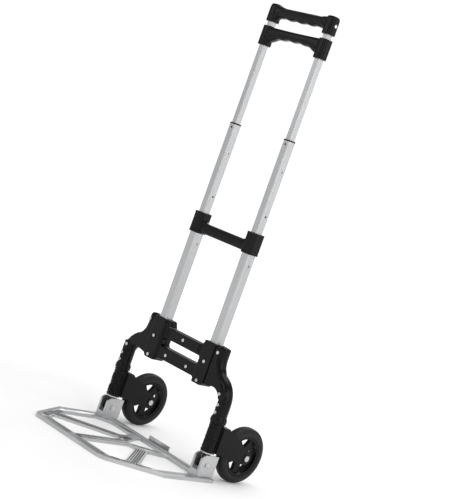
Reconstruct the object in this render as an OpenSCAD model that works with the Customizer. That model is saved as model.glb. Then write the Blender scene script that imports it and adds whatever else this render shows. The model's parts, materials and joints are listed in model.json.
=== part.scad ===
// Folding luggage cart with a two-stage telescopic handle, a folding toe plate and folding wheels.
// Millimetres, +Z up, +X to the right, -Y towards the toe plate. The floor is Z = 0.
// The base frame is drawn about the plane of the handle tubes (Y = 0) and place() moves it
// so that the origin is the bottom centre of the bounding box.

/* [Toe plate] */
// Width of the toe plate
plate_w = 390; // [330:1:440]
// Depth of the toe plate, rear edge to front edge
plate_d = 274; // [230:1:300]
// Thickness of the toe plate web
plate_t = 6; // [4:0.5:9]
// Height of the raised border above the floor
rim_top = 7.5; // [6:0.5:10]
// Distance from the hinge axis back to the rear edge
plate_back = 28; // [24:1:32]

/* [Hinge] */
// Height of the toe plate hinge axis
hinge_z = 34; // [30:1:40]
// Radius of the hinge pins
pin_r = 5; // [4:0.5:6]
// Width of the hinge brackets
bracket_w = 28; // [27:1:32]

/* [Legs and wheels] */
// Distance from the middle to the leg axis
leg_x = 170; // [160:1:180]
// Radius of the leg columns and fork barrels
leg_r = 15.5; // [15:0.5:17]
// Wheel radius
wheel_r = 64; // [60:1:66]
// Wheel width
wheel_w = 26; // [22:1:30]
// Distance from the leg axis back to the wheel axle
axle_y = 102; // [95:1:106]

/* [Handle] */
// Distance from the middle to the handle tube axis
tube_x = 88; // [80:1:95]
// Outside size of the outer tubes
outer_w = 24; // [22:0.5:26]
// Outside size of the first-stage tubes
stage1_w = 19.4; // [18:0.1:20]
// Outside size of the second-stage tubes
stage2_w = 15.3; // [14:0.1:16]
// Height of the underside of the crossbar
crossbar_z = 487; // [470:1:500]
// Height of the top of the extended first stage
stage1_top = 746; // [720:1:760]
// Height of the underside of the lower handle when extended
lower_z = 934; // [910:1:950]
// Height of the underside of the top handle when extended
upper_z = 990; // [965:1:1010]

/* [Hidden] */

$fn = 48;
gap = 0.05;              // fit between pieces of one body
run = 0.06;              // radial clearance of a running fit
eps = 0.5;               // overrun of a cut past a face

black = [0.06, 0.06, 0.065];
dark = [0.13, 0.13, 0.14];
silver = [0.72, 0.73, 0.75];
plate_grey = [0.66, 0.67, 0.69];
zinc = [0.80, 0.80, 0.78];
rubber = [0.05, 0.05, 0.05];

// overall layout
front_y = plate_back - plate_d;
origin_y = -(front_y + axle_y + wheel_r) / 2;
rim_w = 8;
pocket_z = 3.8;           // floor of the ribbed pockets
rib_z = 6.8;              // top of the ribs in them

// leg and fork heights
barrel_z0 = 62;
barrel_z1 = 126;
leg_z0 = 127.5;
flare_r = leg_r + 2.8;
top_x = 118;
bend_z = 170;
bend_r = 46;
bend_a = acos(1 - (leg_x - top_x) / (2 * bend_r));
top_bend_z = bend_z + 2 * bend_r * sin(bend_a);
leg_top = 276;
rod_r = 6;
rod_z0 = 45;
rod_z1 = 165;
fork_in = wheel_w / 2 + 2;
fork_out = fork_in + 6;
axle_r = 4;
boss_r = 16;

// frame
frame_front_y = -18;
beam_front_y = -12;
frame_back_y = 16;
frame_top = 280;
frame_side = 104;
slot_x = 64.5;
slot_z0 = 220;
slot_z1 = 240;
tube_z0 = 190;
tube_z1 = 532;
frame_half = [[60, 192.6], [70, 183], [97, 183], [frame_side, 191], [frame_side, frame_top],
              [66, frame_top], [58, 265]];
frame_half_r = [6, 5, 6, 1, 4, 6];

// telescopic tubes
outer_wall = 1.2;
stage1_wall = 1.0;
stage2_wall = 1.0;
outer_in = outer_w - 2 * outer_wall;
stage1_in = stage1_w - 2 * stage1_wall;
stage2_in = stage2_w - 2 * stage2_wall;
slide_gap = 0.35;
stage1_z0 = 440;
stage2_z0 = 664.5;
stage2_z1 = 1026;
lock1_z = 462;
lock2_z = 678;
side_hole_z = 575;
peg_z = stage1_top - 8;

// handles
sleeve_w = 26;
lower_top = 980;
upper_top = 1032;
grip_z = 1014.5;
grip_half = 64;
pin_z = 957;
release = 8;
spring_z0 = 986;
spring_z1 = 1006;
cross_sleeve_w = 31;
crossbar_top = 535;

// screws: x, z, y of the face they sit on
frame_spots = [[88, 235, frame_front_y], [86, 190.5, frame_front_y], [36, 205, beam_front_y]];
top_spot = [0, 254, beam_front_y];
leg_spots = [[leg_x - 6, 188, -18], [leg_x, 166, -18], [leg_x, 149, -18], [top_x, 266, -17.5]];

// ---- helpers ----

module place() {
  translate([0, origin_y, 0]) children();
}

module both_sides() {
  children();
  mirror([1, 0, 0]) children();
}

module left_side() {
  mirror([1, 0, 0]) children();
}

function unit(v) = v / norm(v);

function wrap(a) = a > 180 ? a - 360 : (a < -180 ? a + 360 : a);

// points of the arc of radius r that rounds the corner b between a and c
function corner(a, b, c, r, n = 6) =
  let (u = unit(a - b), v = unit(c - b), half = acos(u * v) / 2)
  let (m = b + unit(u + v) * r / sin(half))
  let (s = b + u * r / tan(half) - m, e = b + v * r / tan(half) - m)
  let (a0 = atan2(s[1], s[0]), turn = wrap(atan2(e[1], e[0]) - a0))
  [for (i = [0:n]) m + r * [cos(a0 + turn * i / n), sin(a0 + turn * i / n)]];

function rounded(p, r) =
  let (n = len(p))
  [for (i = [0:n - 1]) each corner(p[(i + n - 1) % n], p[i], p[(i + 1) % n], r[i])];

function mirrored(p) = concat(p, [for (i = [len(p) - 1:-1:0]) [-p[i][0], p[i][1]]]);

function twice(r) = concat(r, [for (i = [len(r) - 1:-1:0]) r[i]]);

// rounded square with true corner arcs
module round_square(w, r) {
  square([w, w - 2 * r], center = true);
  square([w - 2 * r, w], center = true);
  for (x = [-1, 1], y = [-1, 1]) {
    translate([x * (w / 2 - r), y * (w / 2 - r)]) circle(r = r, $fn = 32);
  }
}

module square_bar(w, r, z0, z1) {
  translate([0, 0, z0]) linear_extrude(z1 - z0) round_square(w, r);
}

module square_tube(w, wall, r, z0, z1) {
  difference() {
    square_bar(w, r, z0, z1);
    square_bar(w - 2 * wall, r - wall, z0 - eps, z1 + eps);
  }
}

// shape drawn in X and Z, extruded from y0 to y1
module front_extrude(y0, y1) {
  translate([0, y1, 0]) rotate([90, 0, 0]) linear_extrude(y1 - y0) children();
}

// shape drawn in Y and Z, extruded from x0 to x1
module side_extrude(x0, x1) {
  translate([x0, 0, 0]) rotate([90, 0, 90]) linear_extrude(x1 - x0) children();
}

module rod_y(x, z, r, y0, y1) {
  translate([x, y1, z]) rotate([90, 0, 0]) cylinder(r = r, h = y1 - y0);
}

module rod_x(y, z, r, x0, x1) {
  translate([x0, y, z]) rotate([0, 90, 0]) cylinder(r = r, h = x1 - x0);
}

// pan head screw whose head stands on the face at y and points to -Y
module screw(x, z, y, shank) {
  difference() {
    union() {
      rod_y(x, z, 3.6, y - 2, y);
      rod_y(x, z, 1.7, y - 1, y + shank);
    }
    translate([x - 2.4, y - 2 - eps, z - 0.45]) cube([4.8, 1.2, 0.9]);
    translate([x - 0.45, y - 2 - eps, z - 2.4]) cube([0.9, 1.2, 4.8]);
  }
}

module screw_hole(x, z, y, shank) {
  rod_y(x, z, 1.75, y - 2, y + shank + 0.2);
}

// ---- toe plate ----

plate_half = [[plate_w / 2, 0], [plate_w / 2, 150], [122, plate_d]];
plate_half_r = [8, 12, 30];

// outline in plate coordinates: x, distance forward of the rear edge
function plate_points(inset) =
  let (k = inset)
  rounded(mirrored([[plate_w / 2 - k, k], [plate_w / 2 - k, 150 - 0.28 * k],
                    [122 - 0.54 * k, plate_d - k]]), twice(plate_half_r));

module window_front() {
  polygon(rounded([[13.4, 242], [109, 242], [130, 211], [33, 97], [13.4, 105]],
                  [5, 5, 7, 10, 6]));
}

module window_side() {
  polygon(rounded([[165.8, 58], [165.8, 146], [146, 182], [47.5, 74], [63, 30.5], [138, 30.5]],
                  [6, 5, 8, 9, 6, 6]));
}

module window_rear() {
  polygon(rounded([[-45.2, 21.2], [45.2, 21.2], [0, 108.5]], [4, 4, 14.4]));
}

// lines along a bar from a to b, side by side
module long_ribs(bar, count, pitch, w, more = 0) {
  dir = unit(bar[1] - bar[0]);
  start = bar[0] - more * dir;
  for (i = [0:count - 1]) {
    translate([start[0], start[1]]) rotate(atan2(dir[1], dir[0]))
      translate([0, (i - (count - 1) / 2) * pitch - w / 2])
      square([norm(bar[1] - bar[0]) + 2 * more, w]);
  }
}

// strokes across a bar, all parallel to the oblique bars of the plate
module slant_ribs(bar, count, width) {
  intersection() {
    for (i = [0:count - 1]) {
      spot = bar[0] + (bar[1] - bar[0]) * (i + 0.5) / count;
      translate([spot[0], spot[1]]) rotate(slant) square([50, rib_w], center = true);
    }
    long_ribs(bar, 1, 0, width + 1);
  }
}

rib_w = 2.3;
cross_bar = [[47, 95], [140, 202.6]];
slant = atan2(cross_bar[1][1] - cross_bar[0][1], cross_bar[1][0] - cross_bar[0][0]);
cross_w = 21;
spine_bar = [[5.2, 104], [5.2, 241]];
spine_w = 11;
front_bar = [[17, 257], [103, 257]];
front_w = 18;
edge_bar = [[121, 244], [149.5, 195.6]];
edge_end = [[150, 194.7], [166, 167.5]];
edge_w = 14;
rear_bar = [[15, 93], [33, 61]];
rear_w = 14;

// the sunk fields that hold the anti-slip ribs
module plate_pockets() {
  both_sides() {
    long_ribs(spine_bar, 1, 0, spine_w);
    long_ribs(front_bar, 1, 0, front_w);
    long_ribs(edge_bar, 1, 0, edge_w, 0.5);
    long_ribs(edge_end, 1, 0, edge_w, 0.5);
    long_ribs(cross_bar, 1, 0, cross_w);
    long_ribs(rear_bar, 1, 0, rear_w);
  }
}

module plate_ribs() {
  both_sides() {
    slant_ribs(spine_bar, 22, spine_w);
    slant_ribs(front_bar, 16, front_w);
    slant_ribs(edge_bar, 9, edge_w);
    slant_ribs(rear_bar, 5, rear_w);
    long_ribs(cross_bar, 4, 4.7, rib_w, 1);
    long_ribs(edge_end, 3, 4.3, 1.9, 1);
  }
}

module plate_grooves() {
  long_ribs([[0, 120], [0, 240]], 3, 6, 1.6);
  long_ribs([[-130, 11], [130, 11]], 2, 6, 1.6);
  both_sides() long_ribs([[30, 78], [142, 211]], 3, 6, 1.6);
}

// plate coordinates to the base frame
module plate_frame() {
  translate([0, plate_back, 0]) mirror([0, 1, 0]) children();
}

module toe_plate() {
  color(plate_grey) place() plate_frame() difference() {
    union() {
      difference() {
        linear_extrude(plate_t) polygon(plate_points(0));
        translate([0, 0, pocket_z]) linear_extrude(plate_t) plate_pockets();
      }
      difference() {
        linear_extrude(rim_top) polygon(plate_points(0));
        translate([0, 0, plate_t - eps]) linear_extrude(rim_top) polygon(plate_points(rim_w));
        both_sides() translate([leg_x - bracket_w / 2 - 1, -eps, plate_t])
          cube([plate_w / 2 - rim_w + 0.4 - leg_x + bracket_w / 2 + 1, rim_w + 10, rim_top]);
      }
      translate([0, 0, pocket_z - eps]) linear_extrude(rib_z - pocket_z + eps) plate_ribs();
      translate([-35, 0, plate_t - 1]) cube([70, 3.5, 13]);
    }
    both_sides() {
      translate([0, 0, -eps]) linear_extrude(rim_top + 2 * eps) window_front();
      translate([0, 0, -eps]) linear_extrude(rim_top + 2 * eps) window_side();
      for (p = rivet_spots) {
        translate([p[0], plate_back - p[1], -eps]) cylinder(r = 2 + gap, h = rim_top + 2 * eps);
      }
    }
    translate([0, 0, -eps]) linear_extrude(rim_top + 2 * eps) window_rear();
    translate([0, 0, -eps]) linear_extrude(1 + eps) plate_grooves();
  }
}

// ---- hinge brackets ----

bracket_front = -20;
bracket_back = 27.5;
bracket_top = 56;
bracket_wall = 3;
bracket_base = 2.5;
swing_r = 24.6;
rivet_spots = [[leg_x, 21], [leg_x, 14], [leg_x, -13]];

// side plate: a rectangle whose front top corner is rounded so that it passes under the barrel
module bracket_side(x0) {
  side_extrude(x0, x0 + bracket_wall) intersection() {
    translate([bracket_front, plate_t])
      square([bracket_back - bracket_front, bracket_top - plate_t]);
    union() {
      translate([0, hinge_z]) circle(r = swing_r, $fn = 72);
      translate([bracket_front, plate_t]) square([40, hinge_z - plate_t]);
      translate([0, plate_t]) square([40, bracket_top]);
    }
  }
}

module bracket() {
  half = bracket_w / 2;
  post = 5.8;
  translate([leg_x, 0, 0]) difference() {
    union() {
      bracket_side(-half);
      bracket_side(half - bracket_wall);
      translate([-half, bracket_front, plate_t])
        cube([bracket_w, bracket_back - bracket_front, bracket_base]);
      translate([-half, bracket_front, plate_t]) cube([post, 3, 42.5]);
      translate([half - post, bracket_front, plate_t]) cube([post, 3, 42.5]);
      translate([-half, bracket_front, plate_t]) cube([bracket_w, 3, 15]);
    }
    rod_x(0, hinge_z, pin_r, -half - eps, half + eps);
    translate([-leg_x, 0, 0]) for (p = rivet_spots) {
      translate([p[0], p[1], plate_t - eps]) cylinder(r = 2 + gap, h = bracket_base + 2 * eps);
    }
  }
}

module hinge_bracket_right() {
  color(plate_grey) place() bracket();
}

module hinge_bracket_left() {
  color(plate_grey) place() left_side() bracket();
}

module hinge_pins() {
  half = bracket_w / 2;
  color(zinc) place() both_sides() {
    rod_x(0, hinge_z, pin_r, leg_x - half - 0.8, leg_x + half + 0.8);
    rod_x(0, hinge_z, 6, leg_x - half - 1.8, leg_x - half);
    rod_x(0, hinge_z, 6, leg_x + half, leg_x + half + 1.8);
  }
}

module bracket_rivets() {
  color(zinc) place() both_sides() for (p = rivet_spots) {
    translate([p[0], p[1], 0.5]) cylinder(r = 2, h = plate_t + bracket_base);
    translate([p[0], p[1], plate_t + bracket_base]) cylinder(r = 3.6, h = 1.6);
  }
}

// ---- lower frame ----

module frame_outline() {
  polygon(rounded(mirrored(frame_half), twice(concat(frame_half_r, [5]))));
}

module slot_outline() {
  c = 5;
  polygon(mirrored([[slot_x - c, slot_z0], [slot_x, slot_z0 + c], [slot_x, slot_z1 - c],
                    [slot_x - c, slot_z1]]));
}

module tube_channels() {
  both_sides() translate([tube_x, 0, 0])
    square_bar(outer_w + 2 * gap, 4, tube_z0 - 1, frame_top + eps);
}

module frame_front() {
  color(black) place() difference() {
    union() {
      front_extrude(beam_front_y, 0) frame_outline();
      both_sides() front_extrude(frame_front_y, beam_front_y + 1) intersection() {
        frame_outline();
        translate([69, 180]) square([40, 110]);
      }
      for (p = [frame_spots[2], [-36, 205, 0], top_spot]) {
        rod_y(p[0], p[1], 6, beam_front_y, beam_front_y + 2);
      }
      both_sides() for (x = [50, 56]) {
        translate([x, beam_front_y - 2, 244]) cube([1.6, 3, 17]);
      }
    }
    front_extrude(frame_front_y - eps, eps) slot_outline();
    tube_channels();
    both_sides() for (p = frame_spots) {
      screw_hole(p[0], p[1], p[2], p[0] > 80 ? 5 : 8);
    }
    screw_hole(top_spot[0], top_spot[1], top_spot[2], 8);
  }
}

module frame_rear() {
  color(black) place() difference() {
    front_extrude(0, frame_back_y) frame_outline();
    front_extrude(-eps, frame_back_y + eps) slot_outline();
    tube_channels();
    both_sides() translate([8, frame_back_y - 3, 246]) cube([44, 3 + eps, 12]);
    both_sides() translate([8, frame_back_y - 3, 200]) cube([44, 3 + eps, 13]);
  }
}

module frame_screws() {
  color(zinc) place() {
    both_sides() for (p = frame_spots) {
      screw(p[0], p[1], p[2], p[0] > 80 ? 5 : 8);
    }
    screw(top_spot[0], top_spot[1], top_spot[2], 8);
  }
}

// ---- legs ----

// flat web between the frame and the curved tube of the leg
module leg_web() {
  hollow = [134, 166];
  hollow_r = 28;
  polygon(concat(
    [[frame_side, leg_top], [frame_side, 189]],
    [for (a = [112:-8:40]) hollow + hollow_r * [cos(a), sin(a)]],
    [[leg_x - 10, 176], [leg_x - 2, 186], [150, 214], [138, 222], [124, 242], [top_x, leg_top]]));
}

// the leg tube: straight down beside the frame, out to the wheel and down again
module leg_tube() {
  translate([leg_x, 0, leg_z0]) cylinder(r = leg_r, h = bend_z + 1 - leg_z0, $fn = 64);
  translate([leg_x - bend_r, 0, bend_z]) rotate([90, 0, 0])
    rotate_extrude(angle = bend_a + 1, $fn = 96) translate([bend_r, 0]) circle(r = leg_r - 0.4);
  translate([top_x + bend_r, 0, top_bend_z]) rotate([90, 0, 0]) rotate(180)
    rotate_extrude(angle = bend_a, $fn = 96) translate([bend_r, 0]) circle(r = leg_r - 0.8);
  translate([top_x, 0, top_bend_z - 1]) cylinder(r = leg_r - 1.2, h = leg_top - top_bend_z + 1);
}

module leg() {
  difference() {
    union() {
      leg_tube();
      translate([leg_x, 0, leg_z0]) cylinder(r = flare_r, h = 9, $fn = 64);
      translate([leg_x, 0, leg_z0 + 9]) cylinder(r1 = flare_r, r2 = leg_r - 1, h = 7, $fn = 64);
      front_extrude(-15.5, 12) leg_web();
      translate([leg_x - 6, -leg_r - 1, 136]) cube([12, 8, 60]);
      for (p = leg_spots) {
        rod_y(p[0], p[1], 5, p[2], -8);
      }
    }
    translate([frame_side - 40, -30, 180]) cube([40, 60, 100]);
    translate([leg_x, 0, leg_z0 - eps]) cylinder(r = rod_r + gap, h = rod_z1 - leg_z0 + 1);
    for (p = leg_spots) {
      screw_hole(p[0], p[1], p[2], 7);
    }
  }
}

module leg_right() {
  color(black) place() leg();
}

module leg_left() {
  color(black) place() left_side() leg();
}

module leg_screws() {
  color(zinc) place() both_sides() for (p = leg_spots) {
    screw(p[0], p[1], p[2], 7);
  }
}

module leg_rods() {
  color(zinc) place() both_sides() translate([leg_x, 0, rod_z0])
    cylinder(r = rod_r, h = rod_z1 - rod_z0);
}

module rod_washers() {
  color(zinc) place() both_sides() translate([leg_x, 0, barrel_z0 - 2.9]) difference() {
    cylinder(r = leg_r + 0.5, h = 2.5);
    translate([0, 0, -eps]) cylinder(r = rod_r + gap, h = 2.5 + 2 * eps);
  }
}

knuckle_half = bracket_w / 2 - bracket_wall - 0.5;

module hinge_knuckles() {
  color(dark) place() both_sides() difference() {
    union() {
      rod_x(0, hinge_z, 10, leg_x - knuckle_half, leg_x + knuckle_half);
      translate([leg_x, 0, hinge_z]) cylinder(r = 7.8, h = 22);
    }
    translate([leg_x, 0, rod_z0 - 0.1]) cylinder(r = rod_r + gap, h = 20);
    rod_x(0, hinge_z, pin_r + run, leg_x - knuckle_half - 1, leg_x + knuckle_half + 1);
  }
}

// ---- outer tubes and crossbar ----

module outer_tube() {
  difference() {
    translate([tube_x, 0, 0]) square_tube(outer_w, outer_wall, 4, tube_z0, tube_z1);
    rod_x(0, lock1_z, 2.6, tube_x - outer_w / 2 - eps, tube_x + outer_w / 2 + eps);
  }
}

module outer_tube_right() {
  color(silver) place() outer_tube();
}

module outer_tube_left() {
  color(silver) place() left_side() outer_tube();
}

module tube_plugs() {
  color(dark) place() both_sides() translate([tube_x, 0, 0])
    square_bar(outer_in - 2 * gap, 2.7, tube_z0, tube_z0 + 12);
}

module tube_guides() {
  color(dark) place() both_sides() translate([tube_x, 0, 0]) difference() {
    square_bar(outer_in - 2 * gap, 2.7, tube_z1 - 22, tube_z1);
    square_bar(stage1_w + 2 * slide_gap, 3.2, tube_z1 - 23, tube_z1 + eps);
  }
}

module crossbar() {
  groove_y = -cross_sleeve_w / 2;
  color(black) place() difference() {
    union() {
      both_sides() translate([tube_x, 0, 0])
        square_bar(cross_sleeve_w, 5, crossbar_z, crossbar_top);
      side_extrude(-tube_x, tube_x) polygon(rounded([[-9, crossbar_z + 3], [9, crossbar_z + 3],
        [9, crossbar_z + 27], [-9, crossbar_z + 27]], [5, 5, 5, 5]));
      both_sides() front_extrude(-8, 8) polygon([[tube_x, crossbar_z + 1], [66, crossbar_z + 4],
        [62, crossbar_z + 12], [62, crossbar_z + 26], [tube_x, crossbar_z + 36]]);
    }
    both_sides() {
      translate([tube_x, 0, 0]) square_bar(outer_w + 2 * gap, 4, crossbar_z - eps, tube_z1);
      translate([tube_x, 0, 0])
        square_bar(stage1_w + 2 * slide_gap, 3.2, tube_z1 - 1, crossbar_top + eps);
      for (x = [-7, -2.5, 2.5, 7]) {
        translate([tube_x + x - 0.7, groove_y - eps, crossbar_z + 5])
          cube([1.4, 1.1 + eps, crossbar_top - crossbar_z - 10]);
      }
      translate([tube_x, 0, 0]) mirror([0, 1, 0]) screw_hole(0, 511, groove_y, 3);
    }
  }
}

module crossbar_screws() {
  color(zinc) place() both_sides() translate([tube_x, 0, 0]) mirror([0, 1, 0])
    screw(0, 511, -cross_sleeve_w / 2, 2.3);
}

// ---- forks, axles and wheels ----

// point where the line from p touches the circle of radius r about c, on the given side
function touch(p, c, r, side) =
  let (d = c - p, l = norm(d), a = atan2(d[1], d[0]) + side * asin(r / l))
  p + sqrt(l * l - r * r) * [cos(a), sin(a)];

axle = [axle_y, wheel_r];
arm_top = [28, 119];
arm_low = [12, 63];

module arm_outline() {
  polygon([[6, arm_low[1]], arm_low, touch(arm_low, axle, boss_r, -1), axle,
           touch(arm_top, axle, boss_r, 1), arm_top, [20, 123], [6, 123]]);
  translate(axle) circle(r = boss_r);
}

module fork() {
  translate([leg_x, 0, 0]) difference() {
    union() {
      translate([0, 0, barrel_z0]) cylinder(r = leg_r, h = barrel_z1 - barrel_z0, $fn = 64);
      side_extrude(-fork_out, -fork_in) arm_outline();
      side_extrude(fork_in, fork_out) arm_outline();
      translate([-fork_out, 6, 67]) cube([2 * fork_out, 20, 55]);
      rod_x(axle_y, wheel_r, 9, fork_out - 1, fork_out + 1);
      rod_x(axle_y, wheel_r, 9, -fork_out - 1, -fork_out + 1);
      translate([-6, -leg_r - 2, 98]) cube([12, 6, 16]);
      translate([-4, -leg_r - 3.5, 102]) cube([8, 4, 8]);
      translate([-6, -leg_r - 2, 70]) cube([12, 6, 16]);
      translate([-4, -leg_r - 3.5, 74]) cube([8, 4, 8]);
    }
    translate([0, 0, barrel_z0 - eps]) cylinder(r = rod_r + run, h = barrel_z1 - barrel_z0 + 1);
    rod_x(axle_y, wheel_r, axle_r + gap, -fork_out - 2, fork_out + 2);
  }
}

module fork_right() {
  color(black) place() fork();
}

module fork_left() {
  color(black) place() left_side() fork();
}

module axle_bolt() {
  rod_x(axle_y, wheel_r, axle_r, leg_x - fork_out - 3.5, leg_x + fork_out + 1.5);
  rod_x(axle_y, wheel_r, 6.5, leg_x + fork_out + 1, leg_x + fork_out + 3.8);
}

module axle_bolt_right() {
  color(zinc) place() axle_bolt();
}

module axle_bolt_left() {
  color(zinc) place() left_side() axle_bolt();
}

module axle_nut() {
  translate([leg_x - fork_out - 3.8, axle_y, wheel_r]) rotate([0, 90, 0]) difference() {
    cylinder(r = 7, h = 2.8, $fn = 6);
    translate([0, 0, -eps]) cylinder(r = axle_r + gap, h = 5);
  }
}

module axle_nut_right() {
  color(zinc) place() axle_nut();
}

module axle_nut_left() {
  color(zinc) place() left_side() axle_nut();
}

rim_r = 46;
rim_in = 40;
hub_r = 12;
bush_r = 7;
spokes = 5;

// wheel shapes are drawn about the X axis through the axle
module at_axle() {
  translate([leg_x, axle_y, wheel_r]) rotate([0, 90, 0]) children();
}

module ring(r_out, r_in, w) {
  translate([0, 0, -w / 2]) difference() {
    cylinder(r = r_out, h = w, $fn = 72);
    translate([0, 0, -eps]) cylinder(r = r_in, h = w + 2 * eps, $fn = 72);
  }
}

module wheel_core() {
  at_axle() {
    ring(rim_r, rim_in, wheel_w - 3);
    ring(hub_r, bush_r, wheel_w);
    difference() {
      ring(rim_in + 1, hub_r - 1, 9);
      for (i = [0:spokes - 1]) {
        rotate(i * 360 / spokes + 36) translate([0, 0, -6]) linear_extrude(12)
          polygon(rounded([[15, 0], [37.5, -15], [37.5, 15]], [2.5, 3, 3]));
      }
    }
  }
}

module wheel_core_right() {
  color(black) place() wheel_core();
}

module wheel_core_left() {
  color(black) place() left_side() wheel_core();
}

module tyre() {
  h = wheel_w / 2;
  at_axle() rotate_extrude($fn = 96) polygon(concat(
    [[rim_r, -h + 1]], corner([rim_r, -h], [wheel_r, -h], [wheel_r, h], 7, 5),
    corner([wheel_r, -h], [wheel_r, h], [rim_r, h], 7, 5), [[rim_r, h - 1]]));
}

module tyre_right() {
  color(rubber) place() tyre();
}

module tyre_left() {
  color(rubber) place() left_side() tyre();
}

module wheel_bush() {
  at_axle() ring(bush_r, axle_r + run, 2 * fork_in - 0.8);
}

module wheel_bush_right() {
  color(dark) place() wheel_bush();
}

module wheel_bush_left() {
  color(dark) place() left_side() wheel_bush();
}

// ---- first handle stage ----

module stage1_tube() {
  difference() {
    translate([tube_x, 0, 0]) square_tube(stage1_w, stage1_wall, 3.2, stage1_z0, stage1_top);
    for (z = [lock1_z, lock2_z]) {
      rod_x(0, z, 2.5, tube_x - stage1_w / 2 - eps, tube_x + stage1_w / 2 + eps);
    }
    rod_x(0, side_hole_z, 2.6, tube_x - stage1_w / 2 - eps, tube_x + stage1_w / 2 + eps);
    rod_y(tube_x, peg_z, 2.4, -stage1_w / 2 - eps, -7);
  }
}

module stage1_tube_right() {
  color(silver) place() stage1_tube();
}

module stage1_tube_left() {
  color(silver) place() left_side() stage1_tube();
}

module stage1_collars() {
  insert_w = stage1_in - 2 * gap;
  color(black) place() both_sides() difference() {
    union() {
      translate([tube_x, 0, 0]) square_bar(insert_w, 2.1, stage1_top - 16, stage1_top + 1);
      translate([tube_x, 0, 0]) square_bar(stage1_w + 1, 3.5, stage1_top, stage1_top + 3);
      rod_y(tube_x, peg_z, 2.3, -stage1_w / 2, -7.8);
    }
    translate([tube_x, 0, 0])
      square_bar(stage2_w + 2 * slide_gap, 2.4, stage1_top - 17, stage1_top + 4);
  }
}

module stage1_feet() {
  color(dark) place() both_sides() difference() {
    translate([tube_x, 0, 0]) {
      square_bar(outer_in - 2 * slide_gap, 2.7, stage1_z0 - 12, stage1_z0);
      square_bar(stage1_in - 2 * gap, 2.1, stage1_z0 - 1, stage1_z0 + 30);
    }
    rod_x(0, lock1_z, 2.2 + gap, tube_x - 10, tube_x + 10);
  }
}

module stage1_lock_pins() {
  color(zinc) place() both_sides()
    rod_x(0, lock1_z, 2.2, tube_x - 10.4, tube_x + 10.4);
}

// ---- second handle stage ----

module stage2_tube() {
  slot_w = 2 * 2.5 + 0.8;
  difference() {
    translate([tube_x, 0, 0]) square_tube(stage2_w, stage2_wall, 2.6, stage2_z0, stage2_z1);
    rod_x(0, lock2_z, 2.3, tube_x - stage2_w / 2 - eps, tube_x + stage2_w / 2 + eps);
    translate([tube_x - slot_w / 2, -stage2_w, pin_z - 3.2])
      cube([slot_w, 2 * stage2_w, release + 6.4]);
    rod_x(0, rivet_z, 2.2 + gap, tube_x + 5, tube_x + stage2_w / 2 + eps);
  }
}

module stage2_tube_right() {
  color(silver) place() stage2_tube();
}

module stage2_tube_left() {
  color(silver) place() left_side() stage2_tube();
}

module stage2_feet() {
  color(dark) place() both_sides() difference() {
    translate([tube_x, 0, 0]) {
      square_bar(stage1_in - 2 * slide_gap, 2, stage2_z0 - 12, stage2_z0);
      square_bar(stage2_in - 2 * gap, 1.5, stage2_z0 - 1, stage2_z0 + 30);
    }
    rod_x(0, lock2_z, 2 + gap, tube_x - 9, tube_x + 9);
  }
}

module stage2_lock_pins() {
  color(zinc) place() both_sides() rod_x(0, lock2_z, 2, tube_x - 8.3, tube_x + 8.3);
}

module tube_caps() {
  color(dark) place() both_sides() translate([tube_x, 0, 0]) difference() {
    square_bar(stage2_in - 2 * gap, 1.5, spring_z1, stage2_z1);
    rod_x(0, rivet_z, 2.2 + gap, 2, stage2_w);
  }
}

// ---- top handle ----

rivet_z = 1011;
sleeve_r = 7;

module top_handle() {
  core_r = 8;
  color(black) place() difference() {
    union() {
      both_sides() translate([tube_x, 0, 0]) {
        square_bar(sleeve_w, sleeve_r, upper_z, upper_top - 3);
        translate([0, 0, upper_top - 4]) cylinder(r1 = 12.4, r2 = 9.5, h = 4);
      }
      rod_x(0, grip_z, core_r, -tube_x, tube_x);
      both_sides() rod_x(0, grip_z, 11.4, grip_half + 1, tube_x);
    }
    both_sides() {
      translate([tube_x, 0, 0])
        square_bar(stage2_w + 2 * gap, 2.6, upper_z - eps, stage2_z1 + 0.1);
      rod_x(0, rivet_z, 2.2 + gap, tube_x + 5, tube_x + sleeve_w);
    }
  }
}

function grip_radius(x) = 11.5 + 1.5 * cos(x * 90 / grip_half) + 0.55 * cos(x * 360 / 40);

module top_grip() {
  step = 4;
  color(dark) place() intersection() {
    translate([0, 0, grip_z]) rotate([0, 90, 0]) difference() {
      rotate_extrude($fn = 48) polygon(concat([[8.05, -grip_half]],
        [for (x = [-grip_half:step:grip_half]) [grip_radius(x), x]], [[8.05, grip_half]]));
    }
    translate([-tube_x, -20, 980]) cube([2 * tube_x, 40, grip_z + 11.6 - 980]);
  }
}

module handle_rivets() {
  color(zinc) place() both_sides() {
    rod_x(0, rivet_z, 2.2, tube_x + 3, tube_x + sleeve_w / 2 + 1);
    rod_x(0, rivet_z, 3.8, tube_x + sleeve_w / 2, tube_x + sleeve_w / 2 + 1.6);
  }
}

module release_springs() {
  color(zinc) place() both_sides() translate([tube_x, 0, spring_z0]) difference() {
    cylinder(r = 5, h = spring_z1 - spring_z0);
    translate([0, 0, -eps]) cylinder(r = 4, h = 30);
  }
}

// ---- lower handle and release ----

// underside of the lower grip: an arch with finger hollows
function under_z(x) = lower_z + 22 - 13 * pow(abs(x) / 76, 3) - 0.8 * cos(x * 360 / 34);

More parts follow.
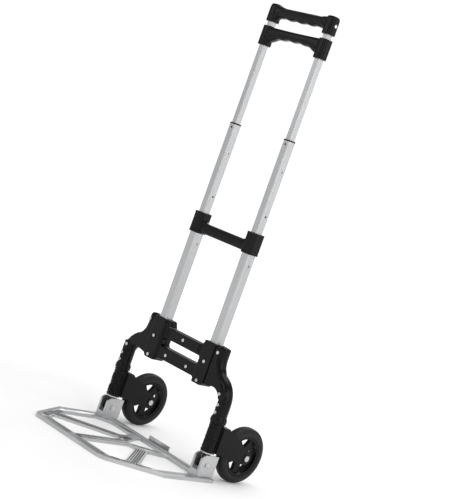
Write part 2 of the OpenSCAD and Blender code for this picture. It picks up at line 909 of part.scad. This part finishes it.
module lower_handle() {
  bar = 76;
  step = 4;
  color(black) place() difference() {
    union() {
      both_sides() translate([tube_x, 0, 0]) square_bar(sleeve_w, sleeve_r, lower_z, lower_top);
      intersection() {
        front_extrude(-12, 12) polygon(concat([for (x = [-bar:step:bar]) [x, under_z(x)]],
          [[bar, lower_top - 2], [-bar, lower_top - 2]]));
        side_extrude(-bar, bar) polygon(rounded([[-10, lower_z], [10, lower_z],
          [10, lower_top - 2], [-10, lower_top - 2]], [7, 7, 7, 7]));
      }
    }
    both_sides() {
      translate([tube_x, 0, 0])
        square_bar(stage2_w + 0.8, 3, lower_z - eps, lower_top + eps);
      rod_y(tube_x, pin_z, 2.5 + gap, -11.2, 11.2);
    }
  }
}

module release_pins() {
  color(zinc) place() both_sides() rod_y(tube_x, pin_z, 2.5, -11, 11);
}

module release_rods() {
  block = 9;
  rod_z = stage2_z0 + 33;
  color(zinc) place() both_sides() difference() {
    union() {
      translate([tube_x, 0, rod_z]) cylinder(r = 2.5, h = spring_z0 - 0.5 - rod_z);
      translate([tube_x - block / 2, -block / 2, pin_z - 7]) cube([block, block, 14]);
      translate([tube_x, 0, spring_z0 - 3]) cylinder(r = 5, h = 2.5);
    }
    rod_y(tube_x, pin_z, 2.5 + gap, -6, 6);
  }
}

toe_plate();
hinge_bracket_left();
hinge_bracket_right();
hinge_pins();
bracket_rivets();
frame_front();
frame_rear();
leg_left();
leg_right();
frame_screws();
leg_screws();
leg_rods();
rod_washers();
hinge_knuckles();
outer_tube_left();
outer_tube_right();
tube_plugs();
tube_guides();
crossbar();
crossbar_screws();
fork_left();
fork_right();
axle_bolt_left();
axle_bolt_right();
axle_nut_left();
axle_nut_right();
wheel_core_left();
wheel_core_right();
tyre_left();
tyre_right();
wheel_bush_left();
wheel_bush_right();
stage1_tube_left();
stage1_tube_right();
stage1_collars();
stage1_feet();
stage1_lock_pins();
stage2_tube_left();
stage2_tube_right();
stage2_feet();
stage2_lock_pins();
tube_caps();
top_handle();
top_grip();
handle_rivets();
release_springs();
lower_handle();
release_pins();
release_rods();
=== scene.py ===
"""Looks of the folding luggage cart: materials, moulded detail, studio and camera."""

import json
import math

import bmesh
import bpy
from mathutils import Matrix, Vector


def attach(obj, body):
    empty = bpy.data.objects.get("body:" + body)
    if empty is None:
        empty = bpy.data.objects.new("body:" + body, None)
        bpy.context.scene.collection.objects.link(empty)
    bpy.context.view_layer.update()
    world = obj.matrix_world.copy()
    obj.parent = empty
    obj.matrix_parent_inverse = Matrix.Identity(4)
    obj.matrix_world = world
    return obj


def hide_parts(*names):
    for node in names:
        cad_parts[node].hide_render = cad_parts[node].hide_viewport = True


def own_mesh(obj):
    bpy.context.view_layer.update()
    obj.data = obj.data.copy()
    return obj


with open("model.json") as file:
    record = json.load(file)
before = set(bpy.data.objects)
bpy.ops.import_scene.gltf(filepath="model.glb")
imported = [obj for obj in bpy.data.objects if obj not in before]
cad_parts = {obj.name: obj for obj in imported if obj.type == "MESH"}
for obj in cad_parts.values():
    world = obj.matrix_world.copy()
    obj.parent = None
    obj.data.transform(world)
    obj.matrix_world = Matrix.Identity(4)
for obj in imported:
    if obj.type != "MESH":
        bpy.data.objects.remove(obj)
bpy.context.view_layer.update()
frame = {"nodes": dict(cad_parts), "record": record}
NODES = frame["nodes"]
SLOT_OF = {part["node"]: part["material_slot"] for part in frame["record"]["subparts"]}
BODY_OF = {node: body for body, nodes in frame["record"]["behaviour"]["bodies"].items()
           for node in nodes}


def add_object(name, data):
    obj = bpy.data.objects.new(name, data)
    bpy.context.scene.collection.objects.link(obj)
    return obj


# ---------------------------------------------------------------- materials
# Noise scales are per metre. Depths and edge radii are in metres.

NOISE_LOW, NOISE_HIGH = 0.3, 0.7
PLASTIC_GLOSS = 0.15
RUBBER_GLOSS = 0.28


class Nodes:
    """A material with helpers that add and link its shader nodes."""

    def __init__(self, name):
        self.mat = bpy.data.materials.new(name)
        self.mat.use_nodes = True
        self.tree = self.mat.node_tree
        self.bsdf = self.tree.nodes["Principled BSDF"]

    def add(self, kind, **settings):
        node = self.tree.nodes.new(kind)
        for key, value in settings.items():
            setattr(node, key, value)
        return node

    def link(self, output, socket):
        self.tree.links.new(output, socket)

    def feed(self, output, name):
        """Links an output to a named input of the surface shader."""
        self.link(output, self.bsdf.inputs[name])

    def fix(self, name, value):
        """Sets an input of the surface shader that is the same all over."""
        self.bsdf.inputs[name].default_value = value

    def coords(self, scale):
        """The object's own space, scaled by one number or by one for each axis."""
        coord = self.add("ShaderNodeTexCoord")
        mapping = self.add("ShaderNodeMapping")
        each_axis = scale if isinstance(scale, tuple) else (scale, scale, scale)
        mapping.inputs["Scale"].default_value = each_axis
        self.link(coord.outputs["Object"], mapping.inputs["Vector"])
        return mapping.outputs["Vector"]

    def noise(self, scale, detail=4.0, rough=0.55):
        node = self.add("ShaderNodeTexNoise")
        node.inputs["Scale"].default_value = 1.0
        node.inputs["Detail"].default_value = detail
        node.inputs["Roughness"].default_value = rough
        self.link(self.coords(scale), node.inputs["Vector"])
        return node.outputs["Fac"]

    def distance(self):
        """Distance from the middle of the object's own space."""
        length = self.add("ShaderNodeVectorMath", operation="LENGTH")
        self.link(self.coords(1), length.inputs[0])
        return length.outputs["Value"]

    def ramp(self, source, low, high, start=NOISE_LOW, end=NOISE_HIGH):
        node = self.add("ShaderNodeMapRange")
        node.inputs["From Min"].default_value = start
        node.inputs["From Max"].default_value = end
        node.inputs["To Min"].default_value = low
        node.inputs["To Max"].default_value = high
        self.link(source, node.inputs["Value"])
        return node.outputs["Result"]

    def colour(self, source, dark, light):
        node = self.add("ShaderNodeValToRGB")
        first, last = node.color_ramp.elements
        first.position, first.color = NOISE_LOW, (*dark, 1)
        last.position, last.color = NOISE_HIGH, (*light, 1)
        self.link(source, node.inputs["Fac"])
        return node.outputs["Color"]

    def mix(self, factor, first, second):
        node = self.add("ShaderNodeMixRGB")
        self.link(factor, node.inputs["Fac"])
        self.link(first, node.inputs["Color1"])
        self.link(second, node.inputs["Color2"])
        return node.outputs["Color"]

    def relief(self, height, strength, depth, edge):
        """Fine bumps over softly rounded edges."""
        bevel = self.add("ShaderNodeBevel", samples=4)
        bevel.inputs["Radius"].default_value = edge
        bump = self.add("ShaderNodeBump")
        bump.inputs["Strength"].default_value = strength
        bump.inputs["Distance"].default_value = depth
        self.link(height, bump.inputs["Height"])
        self.link(bevel.outputs["Normal"], bump.inputs["Normal"])
        self.feed(bump.outputs["Normal"], "Normal")


def moulded_plastic(name, dark, light, rough, grain, grain_depth, edge=0.0012):
    m = Nodes(name)
    m.feed(m.colour(m.noise(22, 3.0), dark, light), "Base Color")
    m.feed(m.ramp(m.noise(60, 5.0), rough - 0.05, rough + 0.06), "Roughness")
    m.relief(m.noise(grain, 2.0, 0.6), 0.30, grain_depth, edge)
    m.fix("Specular IOR Level", PLASTIC_GLOSS)
    return m.mat


def drawn_aluminium(name):
    """Satin tube with faint streaks along its length."""
    m = Nodes(name)
    cloud = m.noise((10, 10, 3), 3.0)
    streak = m.noise((150, 150, 0.8), 2.0, 0.5)
    m.feed(m.colour(cloud, (0.43, 0.434, 0.44), (0.48, 0.484, 0.49)), "Base Color")
    m.feed(m.ramp(streak, 0.36, 0.40), "Roughness")
    m.fix("Metallic", 1.0)
    return m.mat


def cast_aluminium(name):
    """Blasted casting; the sunk grooves between the anti-slip ribs get painted shade, a near-black
    colour standing in for their shadow.
    """
    m = Nodes(name)
    metal = m.colour(m.noise(9), (0.48, 0.484, 0.49), (0.56, 0.564, 0.57))
    # Painted shade: near-black colour for the marked groove faces, in place of the shadow that
    # falls between the ribs.
    painted_groove_shade = m.colour(m.noise(90, 3.0), (0.085, 0.085, 0.088), (0.140, 0.140, 0.145))
    sunk = m.add("ShaderNodeAttribute", attribute_name="groove")
    m.feed(m.mix(sunk.outputs["Fac"], metal, painted_groove_shade), "Base Color")
    m.feed(m.ramp(m.noise(40, 5.0), 0.34, 0.48), "Roughness")
    m.relief(m.noise(1400, 2.0, 0.7), 0.18, 0.0002, edge=0.0008)
    m.fix("Metallic", 0.9)
    return m.mat


def zinc_steel(name):
    m = Nodes(name)
    m.feed(m.colour(m.noise(120, 3.0), (0.46, 0.46, 0.45), (0.62, 0.62, 0.60)), "Base Color")
    m.feed(m.ramp(m.noise(260), 0.16, 0.30), "Roughness")
    m.relief(m.noise(500, 2.0), 0.1, 0.0002, edge=0.0004)
    m.fix("Metallic", 1.0)
    return m.mat


def tyre_rubber(name):
    m = Nodes(name)
    m.feed(m.colour(m.noise(30), (0.0045, 0.0045, 0.0048), (0.0090, 0.0090, 0.0093)), "Base Color")
    m.feed(m.ramp(m.noise(180, 5.0), 0.46, 0.62), "Roughness")
    m.relief(m.noise(1500, 2.0), 0.3, 0.0003, edge=0.0008)
    m.fix("Specular IOR Level", RUBBER_GLOSS)
    return m.mat


MATS = {
    "black_plastic": moulded_plastic(
        "black_plastic", dark=(0.0016, 0.0016, 0.0018), light=(0.0032, 0.0032, 0.0035),
        rough=0.24, grain=1300, grain_depth=0.00012),
    "grip_plastic": moulded_plastic(
        "grip_plastic", dark=(0.0035, 0.0035, 0.0037), light=(0.0060, 0.0060, 0.0062),
        rough=0.42, grain=900, grain_depth=0.0003),
    "dark_nylon": moulded_plastic(
        "dark_nylon", dark=(0.014, 0.014, 0.0145), light=(0.022, 0.022, 0.023),
        rough=0.45, grain=700, grain_depth=0.0003, edge=0.0006),
    "tyre_rubber": tyre_rubber("tyre_rubber"),
    "plate_aluminium": cast_aluminium("plate_aluminium"),
    "tube_aluminium": drawn_aluminium("tube_aluminium"),
    "zinc_steel": zinc_steel("zinc_steel"),
}

for node_name, cad_object in NODES.items():
    for material_slot in cad_object.material_slots:
        material_slot.material = MATS[SLOT_OF[node_name]]

# ---------------------------------------------------------------- shells
# Pieces are drawn in millimetres: X from the middle of the cart, Y back from the plane of the
# handle tubes and Z up from the floor.

MM = 0.001
TUBE_PLANE = 40.0
TUBE_X = 88.0
LEG_X = 170.0
LEG_TOP_X = 118.0
AXLE_Y = 102.0
AXLE_Z = 64.0
CROSSBAR_Z = 502
FINGER_PITCH = 33.0
SIDES = {"right": 1, "left": -1}


def at(x, y, z):
    return Vector((x, y + TUBE_PLANE, z)) * MM


def squircle(half_x, half_y, power, count=40):
    """Outline between an ellipse (power 2) and a rectangle (large power)."""
    points = []
    for i in range(count):
        angle = 2 * math.pi * i / count
        c, s = math.cos(angle), math.sin(angle)
        points.append((half_x * math.copysign(abs(c) ** (2 / power), c),
                       half_y * math.copysign(abs(s) ** (2 / power), s)))
    return points


def circle(radius):
    return squircle(radius, radius, 2, 48)


def scaled(outline, factor_x, factor_y):
    return [(u * factor_x, v * factor_y) for u, v in outline]


def round_square(width, radius, arc=6):
    """Square outline with round corners, counter-clockwise from the right side."""
    inner = width / 2 - radius
    points = []
    for quarter, (way_x, way_y) in enumerate(((1, 1), (-1, 1), (-1, -1), (1, -1))):
        for i in range(arc + 1):
            angle = math.radians(90 * quarter + 90 * i / arc)
            points.append((way_x * inner + radius * math.cos(angle),
                           way_y * inner + radius * math.sin(angle)))
    return points


def fluted_square(width, radius, grooves, depth):
    """Round square with upright grooves in its front and rear faces, at the given places in X."""
    half_mouth, half_floor = 0.9, 0.4
    plain = round_square(width, radius)
    points = []
    for i, (u, v) in enumerate(plain):
        points.append((u, v))
        run = plain[(i + 1) % len(plain)][0] - u
        if abs(run) > width / 3:
            way = math.copysign(1, run)
            inside = v - math.copysign(depth, v)
            for g in sorted(grooves, reverse=way < 0):
                points += [(g - way * half_mouth, v), (g - way * half_floor, inside),
                           (g + way * half_floor, inside), (g + way * half_mouth, v)]
    return points


class Shells:
    """Closed shells collected in one mesh, which becomes one piece."""

    def __init__(self):
        self.bm = bmesh.new()

    def skin(self, rings, closed=False):
        """Joins rings of equal point counts; closed also joins the last ring to the first."""
        made = [[self.bm.verts.new(point) for point in ring] for ring in rings]
        following = made[1:] + made[:1] if closed else made[1:]
        for ring, after in zip(made, following):
            for i in range(len(ring)):
                j = (i + 1) % len(ring)
                self.bm.faces.new((ring[i], ring[j], after[j], after[i]))
        return made

    def loft(self, rings):
        """Skin with both ends capped."""
        made = self.skin(rings)
        self.bm.faces.new(made[0][::-1])
        self.bm.faces.new(made[-1])

    def upright(self, outline, z0, z1, x=0.0):
        self.loft([[at(x + u, v, z) for u, v in outline] for z in (z0, z1)])

    def sleeve(self, outer, inner, z0, z1, x):
        """Upright tube between an outer and an inner outline of equal point counts."""
        corners = ((outer, z0), (outer, z1), (inner, z1), (inner, z0))
        self.skin([[at(x + u, v, z) for u, v in outline] for outline, z in corners], closed=True)

    def block(self, x0, x1, y0, y1, z0, z1):
        x0, x1 = sorted((x0, x1))
        self.upright([(x0, y0), (x1, y0), (x1, y1), (x0, y1)], z0, z1)

    def bar(self, sections, sign=1):
        """Bar along X. A section is its X, its middle height and an outline, height first."""
        self.loft([[at(sign * x, v, middle + u) for u, v in outline]
                   for x, middle, outline in sections])

    def copy_of(self, node):
        self.bm.from_mesh(NODES[node].data)
        return self

    def piece(self, name, node, voxel=0.0, smooth=0, angle=35.0):
        """Makes the piece that stands for a CAD node, fused by voxels or with sharp edges kept."""
        bmesh.ops.remove_doubles(self.bm, verts=self.bm.verts[:], dist=1e-7)
        bmesh.ops.recalc_face_normals(self.bm, faces=self.bm.faces[:])
        mesh = bpy.data.meshes.new(name)
        self.bm.to_mesh(mesh)
        self.bm.free()
        obj = add_object(name, mesh)
        slot = SLOT_OF[node]
        mesh.materials.append(MATS[slot])
        if voxel:
            fuse = obj.modifiers.new("fuse", "REMESH")
            fuse.mode = "VOXEL"
            fuse.voxel_size = voxel * MM
            fuse.use_smooth_shade = True
            soft = obj.modifiers.new("soft", "SMOOTH")
            soft.factor = 0.5
            soft.iterations = smooth
        else:
            for face in mesh.polygons:
                face.use_smooth = True
            mesh.set_sharp_from_angle(angle=math.radians(angle))
        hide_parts(node)
        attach(obj, BODY_OF[node])
        return obj


# ---------------------------------------------------------------- pieces


def tubes(side):
    """Drawn square tubes, shaded smoothly round their corners."""
    for stage in ("outer", "stage1", "stage2"):
        node = f"{stage}_tube_{side}"
        tube = Shells().copy_of(node).piece(f"{stage}_drawn_tube_{side}", node, angle=25)
        even = tube.modifiers.new("even", "WEIGHTED_NORMAL")
        even.keep_sharp = True


def leg(side, sign):
    """Leg with three raised bands across the front of its lower arm and a domed top."""
    band_heights, half_band, half_width = (141.5, 157.5, 177.0), 1.6, 9.5
    band_front, band_back = -14.5, -6
    dome = ((274, 13.6), (277, 13.6), (279, 12.6), (280.6, 10.4), (281.6, 7.0), (282, 3.0))
    s = Shells().copy_of(f"leg_{side}")
    for z in band_heights:
        s.block(sign * (LEG_X - half_width), sign * (LEG_X + half_width), band_front, band_back,
                z - half_band, z + half_band)
    s.loft([[at(sign * LEG_TOP_X + u, v, z) for u, v in circle(radius)] for z, radius in dome])
    s.piece(f"leg_moulding_{side}", f"leg_{side}", voxel=0.9, smooth=8)


def fork(side, sign):
    """Fork with raised rings round its barrel, the lowest and the highest a little prouder."""
    barrel_radius, half_ring = 15.5, 1.5
    rings = ((64.0, 1.1), (71, 0.7), (93, 0.7), (118, 0.7), (124.3, 1.2))
    s = Shells().copy_of(f"fork_{side}")
    for z, proud in rings:
        s.upright(circle(barrel_radius + proud), z - half_ring, z + half_ring, sign * LEG_X)
    s.piece(f"fork_moulding_{side}", f"fork_{side}", voxel=0.9, smooth=5)


def wheel_core(side):
    s = Shells().copy_of(f"wheel_core_{side}")
    s.piece(f"wheel_centre_{side}", f"wheel_core_{side}", voxel=0.7, smooth=5)


def tyre(side, sign):
    """Solid tyre: round shoulders, two grooves round the tread and a lip on each wall."""
    steps = 128
    half_profile = [(0, 64.0), (3.2, 63.9), (3.7, 63.1), (4.6, 63.1), (5.1, 63.8), (7.6, 63.0),
                    (9.8, 61.5), (11.4, 59.3), (12.4, 56.6), (12.9, 53.5), (13.0, 51.2),
                    (12.5, 50.6), (12.3, 49.6), (12.4, 47.4), (12.2, 46.4), (11.4, 46.0)]
    profile = [(-u, radius) for u, radius in half_profile[:0:-1]] + half_profile
    rings = []
    for i in range(steps):
        angle = 2 * math.pi * i / steps
        rings.append([at(sign * LEG_X + u, AXLE_Y + radius * math.sin(angle),
                         AXLE_Z + radius * math.cos(angle)) for u, radius in profile])
    s = Shells()
    s.skin(rings, closed=True)
    s.piece(f"tyre_moulding_{side}", f"tyre_{side}", angle=32)


def toe_plate():
    """The casting, with the floors and walls of its ribbed pockets marked as grooves, which the
    plate material darkens with painted shade.
    """
    pocket_floor, plate_top, rib_top, near = 3.8, 6.0, 6.8, 0.1
    s = Shells().copy_of("toe_plate")
    # Faces marked here are the ones the plate material darkens with painted shade.
    mark = s.bm.faces.layers.float.new("groove")
    for face in s.bm.faces:
        heights = [vertex.co.z / MM for vertex in face.verts]
        low, high, middle = min(heights), max(heights), sum(heights) / len(heights)
        in_pocket = low > pocket_floor - near and high < rib_top + near / 2
        is_rib_top = middle >= rib_top - near
        is_plate_top = low >= plate_top - near and high <= plate_top + near
        faces_down = face.normal.z <= -0.5
        sunk = in_pocket and not (is_rib_top or is_plate_top or faces_down)
        face[mark] = 1.0 if sunk else 0.0
    s.piece("toe_plate_casting", "toe_plate", angle=25)


def frame_front():
    """Front shell with two short ribs and a long one raised on each end of its face."""
    short_ribs, short_width = (50, 56), 2.2
    long_rib = (66, 70)
    rib_back = -11
    s = Shells().copy_of("frame_front")
    for sign in SIDES.values():
        for x in short_ribs:
            s.block(sign * x, sign * (x + short_width), -14.6, rib_back, 246, 266)
        s.block(sign * long_rib[0], sign * long_rib[1], -15.5, rib_back, 190, 272)
    s.piece("frame_moulding_front", "frame_front", voxel=0.9, smooth=5)


def frame_rear():
    s = Shells().copy_of("frame_rear")
    s.piece("frame_moulding_rear", "frame_rear", voxel=0.9, smooth=5)


def crossbar():
    """Bar between two fluted square collars, each with a prouder band at its top and bottom."""
    width, bore = 31.0, 24.1
    bands = ((487, 490.5, 1.0), (490.5, 531.5, 0.985), (531.5, 535, 1.0))
    neck = ((78, 505, 17, 9.5), (71, 503.5, 15, 9.2), (64, 502.5, 13, 9.0),
            (60, CROSSBAR_Z, 12, 9.0))
    outer = fluted_square(width, 6, (-8.2, 8.2), 1.3)
    inner = scaled(outer, bore / width, bore / width)
    middle_bar = squircle(9.0, 12.0, 5)
    s = Shells()
    for sign in SIDES.values():
        for z0, z1, grow in bands:
            s.sleeve(scaled(outer, sign * grow, grow), scaled(inner, sign, 1), z0, z1,
                     sign * TUBE_X)
        s.bar([(x, middle, squircle(tall, deep, 4)) for x, middle, tall, deep in neck], sign)
    s.loft([[at(x, u, CROSSBAR_Z + v) for u, v in middle_bar] for x in (-62, 62)])
    s.piece("crossbar_moulding", "crossbar", voxel=0.66, smooth=2)


def top_handle():
    """Two domed end sockets, hollow where the release rods reach in, with necks to the grip."""
    outline = squircle(13.0, 13.0, 3.6, 48)
    bore = squircle(7.9, 7.9, 9.0, 48)
    cap = ((1019, 1.0), (1024, 0.985), (1027, 0.95), (1029.5, 0.88), (1031, 0.78), (1031.7, 0.62))
    neck = ((79, 1013.2, 16.3, 12.0), (76, 1013.0, 16.5, 12.0), (72, 1014.0, 15.0, 11.8),
            (68.5, 1015.0, 13.2, 11.6), (65, 1015.6, 12.2, 11.6), (60, 1015.4, 11.4, 11.4))
    s = Shells()
    for sign in SIDES.values():
        s.sleeve(scaled(outline, 0.97, 0.97), bore, 990, 991.5, sign * TUBE_X)
        s.sleeve(outline, bore, 991, 1019.5, sign * TUBE_X)
        s.loft([[at(sign * TUBE_X + u * grow, v * grow, z) for u, v in outline]
                for z, grow in cap])
        s.bar([(x, middle, squircle(tall, deep, 2.7)) for x, middle, tall, deep in neck], sign)
    s.piece("top_handle_moulding", "top_handle", voxel=0.8, smooth=6)


def top_grip():
    """Grip sleeve that swells in the middle, with finger waves below and rounded ends."""
    half_length, grip_z = 64, 1014.6
    unit = squircle(1.0, 1.0, 2.5, 44)
    sections = []
    for x in range(-half_length, half_length + 1):
        wave = 0.9 * math.cos(2 * math.pi * x / FINGER_PITCH)
        swell = math.cos(math.pi * x / 140)
        end = min(1.0, (half_length + 0.6 - abs(x)) / 3) ** 0.5
        above = 11.3 * (0.9 + 0.1 * end)
        below = 1.12 * (10.6 + swell + wave) * (0.9 + 0.1 * end)
        deep = (11.6 + 0.8 * swell) * (0.93 + 0.07 * end)
        outline = [(u * (above if u > 0 else below), v * deep) for u, v in unit]
        sections.append((x, grip_z, outline))
    s = Shells()
    s.bar(sections)
    s.piece("grip_sleeve", "top_grip")


def release_springs():
    """Coil springs in the second-stage tubes, drawn at one length; the real ones shorten when the
    lower handle is lifted.
    """
    low, high, coil_radius, wire_radius = 986.6, 1005.4, 4.4, 0.55
    turns, steps, wire_sides = 7, 26, 8
    s = Shells()
    for sign in SIDES.values():
        rings = []
        for i in range(turns * steps + 1):
            along = 2 * math.pi * i / steps
            z = low + (high - low) * i / (turns * steps)
            ring = []
            for k in range(wire_sides):
                around = 2 * math.pi * k / wire_sides
                radius = coil_radius + wire_radius * math.cos(around)
                ring.append(at(sign * TUBE_X + radius * math.cos(along), radius * math.sin(along),
                               z + wire_radius * math.sin(around)))
            rings.append(ring)
        s.loft(rings)
    coils = s.piece("release_coils", "release_springs")
    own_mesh(coils)


def lower_handle():
    """Bow with finger waves along its arched lower edge, between two square sockets."""
    outer, bore = squircle(13.0, 13.0, 3.6, 56), squircle(8.1, 8.1, 9.0, 56)
    half_length, step = 78, 2
    s = Shells()
    for sign in SIDES.values():
        s.sleeve(outer, bore, 934.6, 979.6, sign * TUBE_X)
    sections = []
    for x in range(-half_length, half_length + 1, step):
        share = abs(x / half_length)
        wave = 0.9 * math.cos(2 * math.pi * x / FINGER_PITCH)
        low = 956.5 - 14.5 * share ** 3.2 - wave
        high = 977.6 + 1.2 * share ** 2
        sections.append((x, (low + high) / 2, squircle((high - low) / 2, 10.6, 3.2)))
    s.bar(sections)
    s.piece("lower_handle_moulding", "lower_handle", voxel=0.8, smooth=7)


for side_name, side_sign in SIDES.items():
    tubes(side_name)
    leg(side_name, side_sign)
    fork(side_name, side_sign)
    wheel_core(side_name)
    tyre(side_name, side_sign)
toe_plate()
frame_front()
frame_rear()
crossbar()
top_handle()
top_grip()
release_springs()
lower_handle()

# ---------------------------------------------------------------- studio
# Places and sizes are in metres and powers in watts.

CART_MIDDLE = (0, 0, 0.5)
ROOM_LIGHT = 0.36
BACKDROP = 1.02
WHITE = (1, 1, 1, 1)
GLOW_NEAR, GLOW_FAR = 0.10, 0.80
GLOW_START, GLOW_END = 0.5, 3.0


def area_light(name, place, target, size, power):
    data = bpy.data.lights.new(name, "AREA")
    data.shape = "RECTANGLE"
    data.size, data.size_y = size
    data.energy = power
    lamp = add_object(name, data)
    lamp.location = place
    aim = Vector(target) - Vector(place)
    lamp.rotation_euler = aim.to_track_quat("-Z", "Y").to_euler()


def lights():
    """Large soft panels: a key on the right, weaker ones round the cart, and one above it."""
    area_light("key_right", (3.2, -0.6, 1.7), CART_MIDDLE, (2.6, 2.8), 49)
    area_light("fill_left", (-2.4, -2.8, 2.0), (0, 0, 0.4), (1.2, 1.6), 11)
    area_light("rear_right", (2.7, 2.6, 1.6), CART_MIDDLE, (1.6, 2.4), 18)
    area_light("front_strip", (0.1, -3.3, 1.5), CART_MIDDLE, (1.3, 2.4), 20)
    area_light("top", (0.2, 0.2, 3.6), (0, 0, 0.3), (2.6, 2.6), 62)
    area_light("rim_back", (-1.4, 3.0, 2.2), CART_MIDDLE, (2.0, 2.0), 40)


def floor():
    """White paper that brightens away from the cart, like a lit sweep."""
    half = 60.0
    corners = [(-half, -half, 0), (half, -half, 0), (half, half, 0), (-half, half, 0)]
    mesh = bpy.data.meshes.new("floor")
    mesh.from_pydata(corners, [], [(0, 1, 2, 3)])
    obj = add_object("floor", mesh)
    m = Nodes("floor_paper")
    m.feed(m.colour(m.noise(3, 2.0), (0.80, 0.80, 0.80), (0.83, 0.83, 0.83)), "Base Color")
    m.fix("Roughness", 0.8)
    m.fix("Specular IOR Level", 0.1)
    m.fix("Emission Color", WHITE)
    m.feed(m.ramp(m.distance(), GLOW_NEAR, GLOW_FAR, GLOW_START, GLOW_END), "Emission Strength")
    mesh.materials.append(m.mat)


def backdrop():
    """White surroundings that look brighter than the light they give."""
    world = bpy.data.worlds.new("studio")
    world.use_nodes = True
    nodes, links = world.node_tree.nodes, world.node_tree.links
    given = nodes["Background"]
    given.inputs["Color"].default_value = WHITE
    given.inputs["Strength"].default_value = ROOM_LIGHT
    seen = nodes.new("ShaderNodeBackground")
    seen.inputs["Color"].default_value = WHITE
    seen.inputs["Strength"].default_value = BACKDROP
    path = nodes.new("ShaderNodeLightPath")
    mix = nodes.new("ShaderNodeMixShader")
    links.new(path.outputs["Is Camera Ray"], mix.inputs["Fac"])
    links.new(given.outputs["Background"], mix.inputs[1])
    links.new(seen.outputs["Background"], mix.inputs[2])
    links.new(mix.outputs["Shader"], nodes["World Output"].inputs["Surface"])
    bpy.context.scene.world = world


def camera():
    """Low camera in front and to the right, rolled so that the upright cart leans in the frame."""
    azimuth, elevation, roll = (math.radians(angle) for angle in (46.44, 2.77, 19.68))
    aside, above, distance = -0.07627, 0.02792, 2.96894
    aim = Vector((0, TUBE_PLANE * MM, 0.5))
    look = -Vector((math.sin(azimuth) * math.cos(elevation),
                    -math.cos(azimuth) * math.cos(elevation), math.sin(elevation)))
    level_right = look.cross(Vector((0, 0, 1))).normalized()
    level_up = level_right.cross(look)
    right = math.cos(roll) * level_right + math.sin(roll) * level_up
    up = math.cos(roll) * level_up - math.sin(roll) * level_right
    data = bpy.data.cameras.new("camera")
    data.sensor_fit = "VERTICAL"
    data.sensor_height = 36.0
    data.lens = 96.46
    data.shift_x, data.shift_y = 0.0832, -0.0491
    data.clip_end = 100
    cam = add_object("camera", data)
    place = aim + aside * right + above * up - distance * look
    turn = Matrix((right, up, -look)).transposed().to_4x4()
    cam.matrix_world = Matrix.Translation(place) @ turn
    bpy.context.scene.camera = cam


floor()
lights()
backdrop()
camera()
bpy.context.scene.view_settings.view_transform = "Standard"
